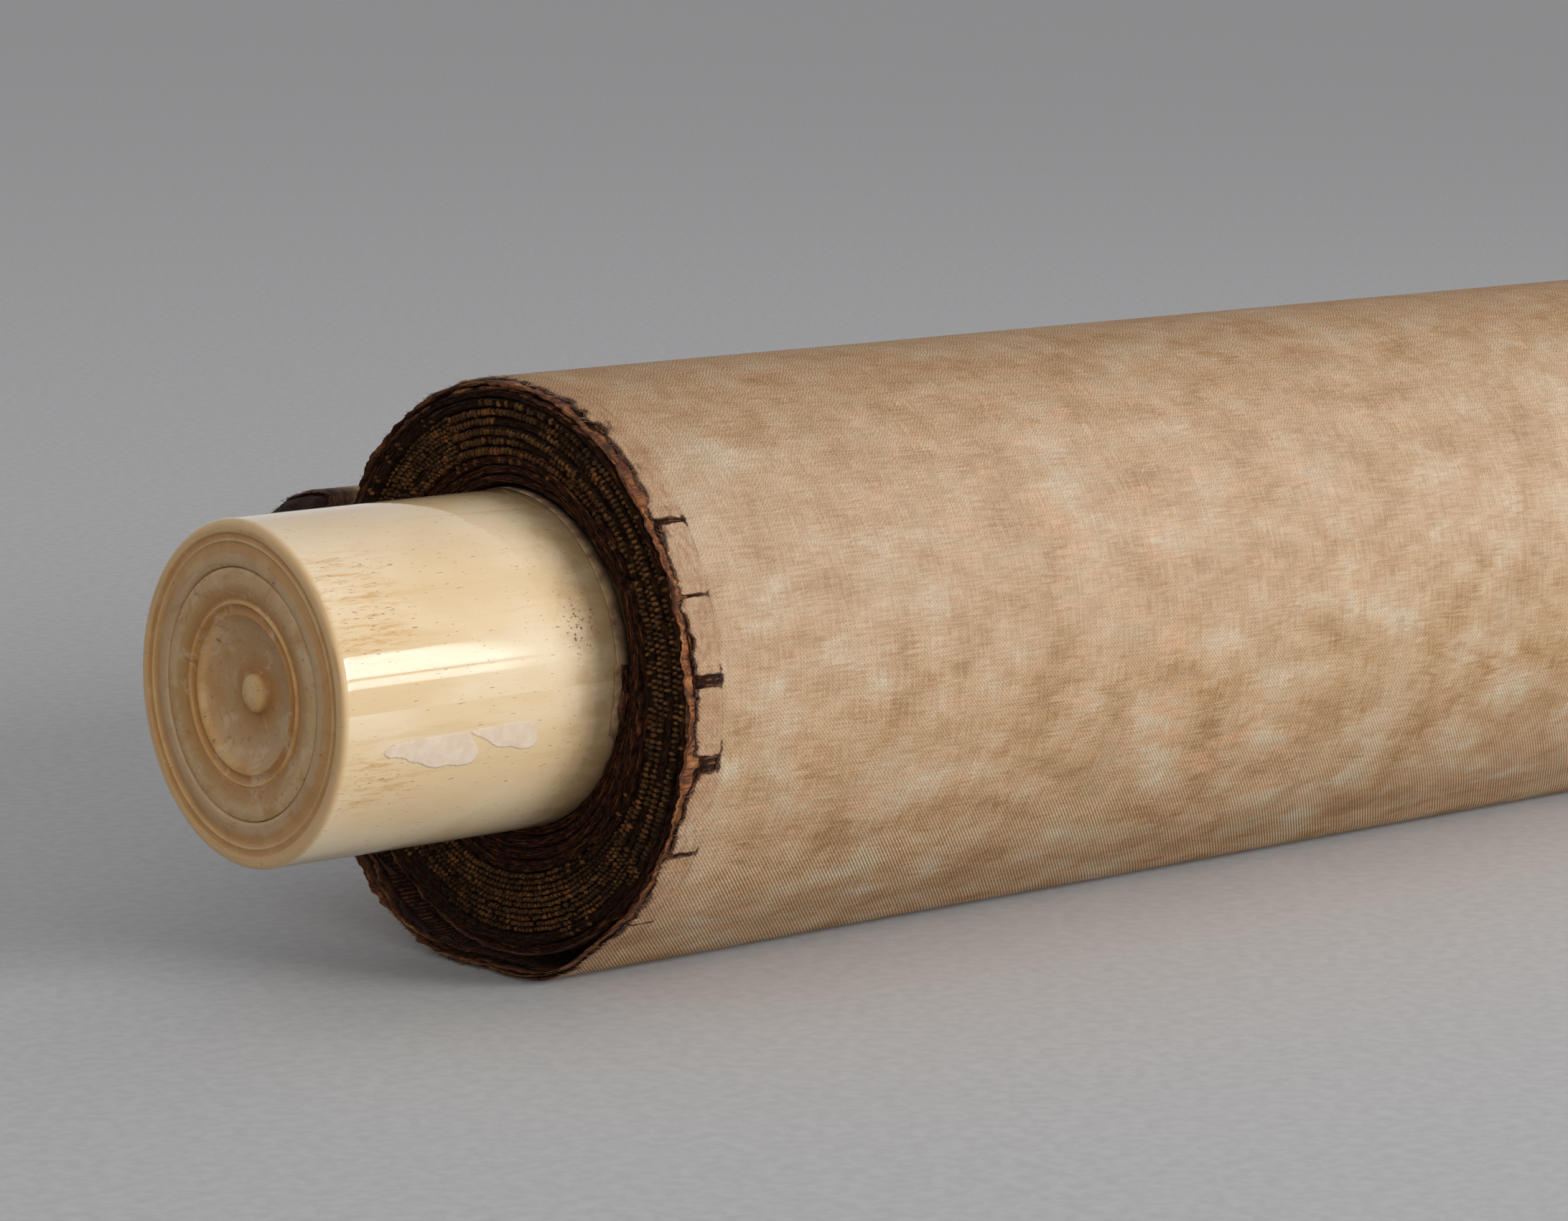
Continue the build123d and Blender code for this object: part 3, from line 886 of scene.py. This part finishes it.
def make_cover():
    """The silk over the last turn and round the stave's hem, with its worn ends."""
    flat_top = HEM[1].start
    outside = PATH[-8:] + [HEM[0], Run(flat_top, (flat_top[0], flat_top[1] - COVER_TURN_IN))]
    run = sample(outside, COVER_STEP, S_LAST)[2]
    extra = [notch[0] + k * NOTCH_STEP for notch in NOTCH_S for k in range(-20, 21)]
    run = np.unique(np.concatenate([run, extra]))
    pts, nrm = along(outside, run, S_LAST)
    near = [0.0, 0.25, 0.45, 0.6, 0.75, 0.9, 1.05, 1.2, 1.4, 1.6, 1.85, 2.1, 2.35, 2.6, 2.85, 3.1, 3.3,
            3.45, 3.58, 3.7, 3.82, 3.95, 4.2, 4.6, 5.4, 7, 10, 16, 28, 45, 70, 105, 150, 190]
    far = [150, 105, 70, 45, 28, 16, 9, 5.5, 4.2, 3.9, 3.7, 3.5, 3.1, 2.4, 1.8, 1.3, 1.0, 0.7, 0.0]
    verts, uvs, dirt = [], [], []
    for p, n, s in zip(pts, nrm, run):
        edges = [cover_edge(s, 0), cover_edge(s, 1)]
        row = [(-1, max(d, edges[0] + 0.006 * i), 0) for i, d in enumerate(near)]
        row += [(1, max(d, edges[1] + 0.006 * (len(far) - 1 - i)), 1) for i, d in enumerate(far)]
        for side, d, end in row:
            x = side * (END_X - d)
            lift = 0.06 * nz(s / 16, x / 22, seed=3) + 0.03 * nz(s / 4.5, x / 6, seed=5)
            lift -= 0.07 * exp(-((d - HEM_CREASE) / 0.25) ** 2)
            if d < HEM_CREASE:
                lift += 0.05 * nz(s / 1.6, d / 1.2, seed=8) + 0.03 * nz(s / 0.5, d / 0.5, seed=18)
                lift += 0.10 * max(0.0, 1.3 - d) * nz(s / 2.1, seed=12)
            full = min(1.0, 0.3 + 0.7 * (d - edges[end]) / 0.4)
            verts.append(off_line(x, p, n, SILK_IN + COVER_THICK * full + lift))
            uvs.append((s, x))
            dirt.append(cover_dirt(s, d, edges[end], end))
        for x in (END_X - edges[1], END_X - 6, 0.0, 6 - END_X, edges[0] - END_X):
            verts.append(off_line(x, p, n, SILK_IN))
            uvs.append((s, x))
            dirt.append(1.0)
    faces = strip_faces(len(verts), len(verts) // len(pts))
    return new_object("cover_silk_worn", verts, faces, uvs, dirt, outward=True)


def make_ribbons(name, side, ribbons):
    """Torn plies that follow the sheet, each with a ragged outer edge of its own."""
    verts, faces, uvs, dirt = [], [], [], []
    for i, (s_from, s_to, offset, thick, reach, ragged, soiled) in enumerate(ribbons):
        lengths = np.arange(s_from, s_to, RIBBON_STEP)
        pts, nrm = along(PATH + HEM, lengths)
        base = len(verts)
        for p, n, s in zip(pts, nrm, lengths):
            fade = min(1.0, (s - s_from) / 4, (s_to - s) / 4)
            th = thick * (0.70 + 1.1 * nz(s / 3.5, seed=61 + i) + 0.7 * nz(s / 0.9, seed=62 + i))
            th = max(0.05, th * fade)
            h = offset + 0.16 * nz(s / 6, seed=63 + i) + 0.06 * nz(s / 1.1, seed=64 + i)
            torn = 1.2 * nz(s / 4.5, seed=65 + i) + 0.9 * nz(s / 1.2, seed=66 + i) + 0.5 * nz(s / 0.4, seed=i)
            r = reach + ragged * torn - 1.2 * (1 - fade)
            curl = 0.12 * nz(s / 2.6, seed=67 + i)
            section = (
                (RIBBON_ROOT, 0.5, 0), (r - 0.35, 0.5, 0.3), (r - 0.08, 0.38, 0.8), (r, 0.0, 1),
                (r - 0.08, -0.38, 0.8), (r - 0.35, -0.5, 0.3), (RIBBON_ROOT, -0.5, 0))
            for j, (x, k, bend) in enumerate(section):
                verts.append(off_line(side * (END_X + x), p, n, h + k * th + curl * bend))
                uvs.append((s + 40 * i, 3.0 * i + j * 0.3))
                dirt.append(unit(soiled + 0.5 * nz(s / 5, seed=68 + i)))
        faces += grid_faces(len(lengths), len(section), wrap_cols=True, base=base)
    return new_object(name, verts, faces, uvs, dirt, outward=True)


def make_torn_edge():
    """The torn plies at the near rim: orange-brown under the silk, darker in the loose turns."""
    foot = stretch(0, 62, 285)[1]
    # From and to along the sheet, offset from its centre line, thickness, reach, raggedness, soiling
    ribbons = [
        (*stretch(0, -30, 120), 0.10, 0.30, -0.15, 0.35, 0.55),
        (*stretch(0, 52, 150), 0.05, 0.42, 0.05, 0.35, 0.12),
        (*stretch(0, 66, 128), -0.40, 0.62, -0.10, 0.40, 0.10),
        (*stretch(0, 118, 282), 0.14, 0.20, 0.02, 0.40, 0.05),
        (*stretch(0, 100, 285), -0.16, 0.16, -0.25, 0.38, 0.35),
        (foot - 6, foot + 34, 0.10, 0.30, -0.05, 0.45, 0.25),
        (foot + 4, foot + 52, -0.25, 0.24, -0.30, 0.50, 0.60),
        (foot + 20, foot + 62, 0.12, 0.25, -0.10, 0.45, 0.60),
        (foot + 2, foot + 30, -0.85, 0.20, -0.6, 0.6, 0.75),
        (foot + 14, foot + 46, -1.35, 0.22, -0.9, 0.6, 0.8),
        (*stretch(1, 10, 112), 0.30, 0.22, 0.10, 0.40, 0.65),
        (*stretch(1, 232, 318), 0.30, 0.22, 0.15, 0.40, 0.60),
        (*stretch(2, 20, 80), 0.30, 0.20, 0.10, 0.35, 0.75),
        (0.3, 7.0, 0.0, 0.50, 0.75, 0.12, 0.45),
    ]
    return make_ribbons("torn_edge_near", -1, ribbons)


def make_frays(name, end, rng):
    """Loose thread ends along the silk's worn edge."""
    verts, faces = [], []
    side = ENDS[end][1]
    lengths = [rng.uniform(S_LAST, S_END) for _ in range(FRAY_COUNTS[end])]
    pts, nrm = along(PATH + HEM, lengths)
    for p, n, s in zip(pts, nrm, lengths):
        x = END_X - cover_edge(s, end) - 0.3
        h = SILK_OUT - rng.uniform(0.0, 0.2)
        slide = 0.0
        step = rng.uniform(0.3, 0.8) / 3
        out_lean, side_lean = rng.uniform(-0.35, 0.3), rng.uniform(-0.8, 0.8)
        curve = rng.uniform(-0.8, 0.8)
        thin = rng.uniform(0.022, 0.045)
        base = len(verts)
        for i in range(4):
            w = thin * (1 - 0.2 * i)
            verts += [off_line(side * x, p, n, h + w * c, slide + w * t) for c, t in circle(3)]
            x += step
            h += step * out_lean
            slide += step * (side_lean + curve * i / 3)
        faces += grid_faces(4, 3, wrap_cols=True, base=base)
    return new_object(name, verts, faces)


def make_hem_end(name, side):
    """Crumpled dark cloth that closes the hem over the stave's end."""
    pts = sample([PATH[-1]] + HEM, 0.7)[0]
    mid = (STAVE_CENTRE[0] + 4.5, STAVE_CENTRE[1])
    # Rings of the cloth: share of the hem's outline, and distance out from the end plane
    rings = ((1.0, -3.0), (1.0, -0.1), (0.96, 0.25), (0.88, 0.15), (0.75, 0.0), (0.55, -0.15), (0.35, -0.2),
             (0.15, -0.2), (0.02, -0.2))
    verts, uvs = [], []
    for k, x in rings:
        for p in pts:
            y, z = mid[0] + (p[0] - mid[0]) * k, mid[1] + (p[1] - mid[1]) * k
            crumple = 0.45 * nz(y / 2.2, z / 1.4, seed=71 + side) + 0.2 * nz(y / 0.7, z / 0.6, seed=72)
            verts.append((side * (END_X + x + (crumple if x > -3 else 0.0)), y, z))
            uvs.append((y * 1.3, z * 1.3))
    return new_object(name, verts, grid_faces(len(rings), len(pts), wrap_cols=True), uvs)


def lathe(name, profile, side, closed=False):
    """A turned piece on the roller's axis. profile is (radius, distance out from the roll's end)."""
    steps = circle(LATHE_STEPS)
    verts = [(side * (END_X + out), AXIS[0] + r * c, AXIS[1] + r * t) for r, out in profile for c, t in steps]
    faces = grid_faces(len(profile), LATHE_STEPS, wrap_rows=closed, wrap_cols=True)
    return new_object(name, verts, faces, outward=True)


def round_corner(centre, radius, to_degrees, steps):
    """Points round an edge, from straight out of the tube's side."""
    return [polar(centre, radius, to_degrees * i / steps) for i in range(steps + 1)]


def make_knob(name, side):
    """The bone tube with its eased rim, groove, fine raised line and bore."""
    rim = ((13.95, 0.005), (13.86, 0.02), (13.80, 0.07), (13.74, 0.16), (13.6, 0.2), (13.4, 0.2),
           (13.27, 0.18), (13.22, 0.10), (13.15, 0.07), (13.08, 0.12), (13.03, 0.24), (12.8, 0.26),
           (12.4, 0.22), (12.05, 0.12), (11.7, 0.08), (11.3, 0.08), (11.06, 0.1), (10.98, 0.16),
           (KNOB_BORE_R, 0.3), (KNOB_BORE_R, 2.0))
    profile = [(KNOB_BORE_R, 0.0), (KNOB_R - 0.05, 0.0), (KNOB_R, 0.06)]
    profile += [(KNOB_R, KNOB_LENGTH * t) for t in (0.1, 0.2, 0.3, 0.4, 0.5, 0.6, 0.7, 0.8, 0.9, 0.96)]
    profile += round_corner((KNOB_R - 0.7, KNOB_LENGTH - 0.72), 0.7, 80, 9)
    profile += [(r, KNOB_LENGTH - below) for r, below in rim]
    return lathe(name, profile, side, closed=True)


def make_plug(name, side):
    """The turned disc: pale flat edge, two fine ridges, dish and nipple."""
    top = KNOB_LENGTH - 0.15
    radius = KNOB_BORE_R - 0.04
    face = ((0.001, 5.0), (radius, 5.0), (radius, 0.2), (radius - 0.05, 0.08), (radius - 0.16, 0.01),
            (10.2, 0.0), (9.4, 0.01), (8.9, 0.06), (8.4, 0.16), (8.1, 0.26), (8.0, 0.28), (7.93, 0.16),
            (7.85, 0.08), (7.76, 0.08), (7.68, 0.18), (7.58, 0.36), (7.3, 0.42), (7.05, 0.36),
            (6.95, 0.24), (6.86, 0.20), (6.76, 0.26), (6.66, 0.42), (6.5, 0.75), (6.2, 1.05), (5.6, 1.34),
            (4.6, 1.6), (3.6, 1.74), (2.8, 1.78), (2.1, 1.76), (1.86, 1.72), (1.80, 1.60), (1.76, 1.46),
            (1.62, 1.28), (1.35, 1.14), (0.95, 1.04), (0.5, 0.99), (0.001, 0.98))
    return lathe(name, [(r, top - below) for r, below in face], side)


def inside(point, outline):
    """Whether the point lies within the outline."""
    x, y = point
    hit = False
    for (x0, y0), (x1, y1) in zip(outline, outline[1:] + outline[:1]):
        if (y0 > y) != (y1 > y) and x < (x1 - x0) * (y - y0) / (y1 - y0) + x0:
            hit = not hit
    return hit


def rounded(outline):
    """The outline with its corners cut."""
    cut = []
    for (x0, y0), (x1, y1) in zip(outline, outline[1:] + outline[:1]):
        cut.append((0.75 * x0 + 0.25 * x1, 0.75 * y0 + 0.25 * y1))
        cut.append((0.25 * x0 + 0.75 * x1, 0.25 * y0 + 0.75 * y1))
    return cut


def make_label(name, outline):
    """A torn remnant of blank paper stuck on the near tube: a thin skin cut from a fine grid."""
    outline = rounded(outline)
    arc = radians(1) * KNOB_R
    x0, x1 = min(x for x, _ in outline), max(x for x, _ in outline)
    a0, a1 = min(a for _, a in outline) * arc, max(a for _, a in outline) * arc
    index, verts, faces = {}, [], []

    def vertex(i, j):
        if (i, j) not in index:
            x, s = x0 + i * LABEL_CELL, a0 + j * LABEL_CELL
            r = KNOB_R + LABEL_LIFT + 0.012 * max(0.0, nz(x / 1.6, s / 1.2, seed=33))
            index[(i, j)] = len(verts)
            verts.append((-END_X + x, *polar(AXIS, r, s / arc)))
        return index[(i, j)]

    for i in range(int((x1 - x0) / LABEL_CELL) + 2):
        for j in range(int((a1 - a0) / LABEL_CELL) + 2):
            centre = (x0 + (i + 0.5) * LABEL_CELL, (a0 + (j + 0.5) * LABEL_CELL) / arc)
            if inside(centre, outline):
                faces.append((vertex(i, j), vertex(i + 1, j), vertex(i + 1, j + 1), vertex(i, j + 1)))
    obj = new_object(name, verts, faces)
    solid = obj.modifiers.new("thickness", "SOLIDIFY")
    solid.thickness = LABEL_THICK * MM
    solid.offset = 0
    return obj


def make_lip(name, side):
    """The thin lining that comes out of the roll onto the knob's root, wider for a short way at the front."""
    verts = []
    for i, (u, v) in enumerate(circle(LIP_STEPS)):
        deg = 360 * i / LIP_STEPS
        out = LIP_REACH + 0.08 * nz(u * 5, v * 5, seed=41 + side) + 0.03 * nz(u * 22, v * 22, seed=42)
        thick = 0.12 + 0.03 * nz(u * 7, v * 7, seed=43)
        if 175 < deg < 199:
            out += 0.35
            thick += 0.1
        shown = min(unit((deg - 80) / 12), unit((204 - deg) / 5))
        out -= 1.1 * (1 - shown)
        section = ((0.03, -1.0), (0.03, out * 0.6), (0.05, out), (thick * 0.5, out + 0.04), (thick, out),
                   (thick + 0.02, out * 0.5), (thick, -1.0))
        for h, o in section:
            r = KNOB_R + h
            verts.append((side * (END_X + o), AXIS[0] + r * u, AXIS[1] + r * v))
    faces = grid_faces(LIP_STEPS, len(section), wrap_rows=True, wrap_cols=True)
    return new_object(name, verts, faces, outward=True)


def make_eyelet(name, x0):
    """A smooth ring, its shank and a collar with an eased edge."""
    seat = polar(STAVE_CENTRE, STAVE_R + HEM_GAP + LAMINATE, EYELET_ANGLE)
    up = polar((0.0, 0.0), 1.0, EYELET_ANGLE)
    wire, ring_r = EYELET_WIRE_R, EYELET_HOLE_R + EYELET_WIRE_R
    height = 0.55 + ring_r

    def at(u, v, w):
        """u along the roll, v round the stave, w up from the silk."""
        return off_line(x0 + u, seat, up, w, v)

    verts = []
    for c, t in circle(RING_STEPS):
        for a, b in circle(WIRE_STEPS):
            r = ring_r + wire * a
            verts.append(at(wire * b, r * c, height + r * t))
    faces = grid_faces(RING_STEPS, WIRE_STEPS, wrap_rows=True, wrap_cols=True)
    collar = [(wire, 0.05), (COLLAR_R - 0.1, 0.05), (COLLAR_R, 0.15), (COLLAR_R - 0.05, 0.35),
              (COLLAR_R - 0.3, 0.5), (1.6, 0.56), (0.9, 0.62), (wire, 0.8)]
    shank = [(wire, -6.98), (wire, 0.1), (wire, 0.8)]
    for profile, steps in ((collar, RING_STEPS), (shank, SHANK_STEPS)):
        base = len(verts)
        verts += [at(r * c, r * t, w) for r, w in profile for c, t in circle(steps)]
        faces += grid_faces(len(profile), steps, wrap_cols=True, base=base)
    faces.append(tuple(range(base, base + SHANK_STEPS)))
    return new_object(name, verts, faces, outward=True)


# Camera, light and stage


def make_camera():
    """The photograph's view of the near knob and the roll's end."""
    data = bpy.data.cameras.new("camera")
    data.lens = CAMERA_LENS
    data.sensor_width = CAMERA_SENSOR
    data.clip_start, data.clip_end = 0.01, 50.0
    cam = bpy.data.objects.new("camera", data)
    bpy.context.scene.collection.objects.link(cam)
    cam.location = CAMERA_AT
    flat = cos(CAMERA_PITCH)
    forward = Vector((flat * cos(CAMERA_YAW), flat * sin(CAMERA_YAW), sin(CAMERA_PITCH)))
    cam.rotation_mode = "QUATERNION"
    cam.rotation_quaternion = forward.to_track_quat("-Z", "Y")
    bpy.context.scene.camera = cam


def make_light(name, direction, distance, size, power, rise=0.0):
    """A gridded rectangular lamp that faces the roll, moved up in its own plane by rise."""
    data = bpy.data.lights.new(name, "AREA")
    data.shape = "RECTANGLE"
    data.size, data.size_y = size
    data.energy = power
    data.spread = radians(LAMP_SPREAD)
    lamp = bpy.data.objects.new(name, data)
    bpy.context.scene.collection.objects.link(lamp)
    d = Vector(direction).normalized()
    turn = d.to_track_quat("Z", "Y")
    lamp.location = Vector(LAMP_TARGET) + d * distance + turn @ Vector((0, rise, 0))
    lamp.rotation_mode = "QUATERNION"
    lamp.rotation_quaternion = turn


def make_lights():
    make_light("key", KEY_DIRECTION, KEY_DISTANCE, (0.53, 0.27), 1.60, rise=-0.03)
    make_light("key_strip", KEY_DIRECTION, KEY_DISTANCE, (0.53, 0.10), 0.52, rise=-0.25)
    make_light("fill", (-0.50, -0.85, 0.18), 1.8, (1.2, 0.6), 1.15)


def make_stage():
    """A pale room and floor for the camera, darker where they only give light."""
    world = bpy.data.worlds.new("world")
    bpy.context.scene.world = world
    world.use_nodes = True
    sky = Nodes(world.node_tree)
    sky.put(sky.tree.nodes["Background"].inputs["Color"], sky.mix(sky.seen(), WORLD_LIGHT, WORLD_SEEN))
    mesh = bpy.data.meshes.new("floor")
    w = FLOOR_HALF
    mesh.from_pydata([(-w, -w, 0), (w, -w, 0), (w, w, 0), (-w, w, 0)], [], [(0, 1, 2, 3)])
    floor = bpy.data.objects.new("floor", mesh)
    bpy.context.scene.collection.objects.link(floor)
    s = Shade("floor", Roughness=0.9, Specular_IOR_Level=0.1)
    grain = s.noise(s.place(), 700.0, 3, 0.6)
    pale = s.mix(s.ramp(grain, 0.3, 0.7), (206, 206, 207), (216, 216, 217))
    mesh.materials.append(s.finish(s.mix(s.seen(), (150, 150, 150), pale)))


# The whole scroll


def dress_sheet(rng):
    """The turns, their cut and torn edges and the closed hem."""
    cloth, edges, beads = under_cloth_material(), edge_material(), bead_material()
    body = finish_piece(make_sheet_body(), cloth, "sheet", "rolled_sheet")
    for end, (word, _) in enumerate(ENDS):
        edge = make_sheet_edge("sheet_edge_" + word, end)
        finish_piece(edge, edges, "sheet", "rolled_sheet")
    for end, (word, _) in enumerate(ENDS):
        finish_piece(make_beads("weft_ends_" + word, end, rng), beads, "sheet")
    finish_piece(make_torn_edge(), torn_material(), "sheet")
    for word, side in ENDS:
        finish_piece(make_hem_end("stave_hem_end_" + word, side), cloth, "sheet")
    flat_length = path_length(PATH + HEM)
    return body


def dress_cover(rng):
    """The silk with its frayed threads."""
    frayed = mottled_material("frayed_thread", (66, 42, 36), (176, 140, 112), 500.0, 0.8)
    cover = finish_piece(make_cover(), silk_material(), "cover_silk", "cover_silk")
    pts, nrm, _ = sample(PATH[-8:] + [HEM[0]], 0.5)
    for end, (word, _) in enumerate(ENDS):
        finish_piece(make_frays("frayed_threads_" + word, end, rng), frayed, "cover_silk")


def dress_ends():
    """The knobs with their discs, lining and paper remnants, and the eyelets."""
    bone, disc = bone_material(), bone_disc_material()
    brass = mottled_material("old_brass", (112, 86, 46), (176, 142, 82), 900.0, 0.38, metallic=1.0)
    paper = mottled_material("label_paper", (226, 203, 178), (236, 215, 192), 700.0, 0.75, bump=0.00002)
    lining = mottled_material("lining", (120, 88, 58), (186, 152, 112), 500.0, 0.8)
    for word, side in ENDS:
        finish_piece(make_knob("knob_sleeve_" + word, side), bone, "bone", "knob_sleeves")
        finish_piece(make_plug("knob_plug_" + word, side), disc, "bone_disc", "knob_plugs")
        finish_piece(make_lip("lining_lip_" + word, side), lining, "sheet")
        eyelet = make_eyelet("eyelet_" + word, side * EYELET_SPACING / 2)
        finish_piece(eyelet, brass, "eyelet_brass", "eyelets")
    finish_piece(make_label("label_remnant_left", LABEL_LEFT), paper, None)
    finish_piece(make_label("label_remnant_right", LABEL_RIGHT), paper, None)


def dress_wood():
    """The roller and the stave keep their CAD shapes."""
    wood = mottled_material("wood", (150, 118, 82), (190, 156, 114), 60.0, 0.6, (0.15, 1, 1))
    for node in ("roller_rod", "top_stave"):
        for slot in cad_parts[node].material_slots:
            slot.material = wood


def main():
    bpy.context.scene.view_settings.view_transform = "Standard"
    make_camera()
    make_stage()
    make_lights()
    rng = random.Random(SEED)
    body = dress_sheet(rng)
    dress_cover(rng)
    dress_ends()
    dress_wood()


main()
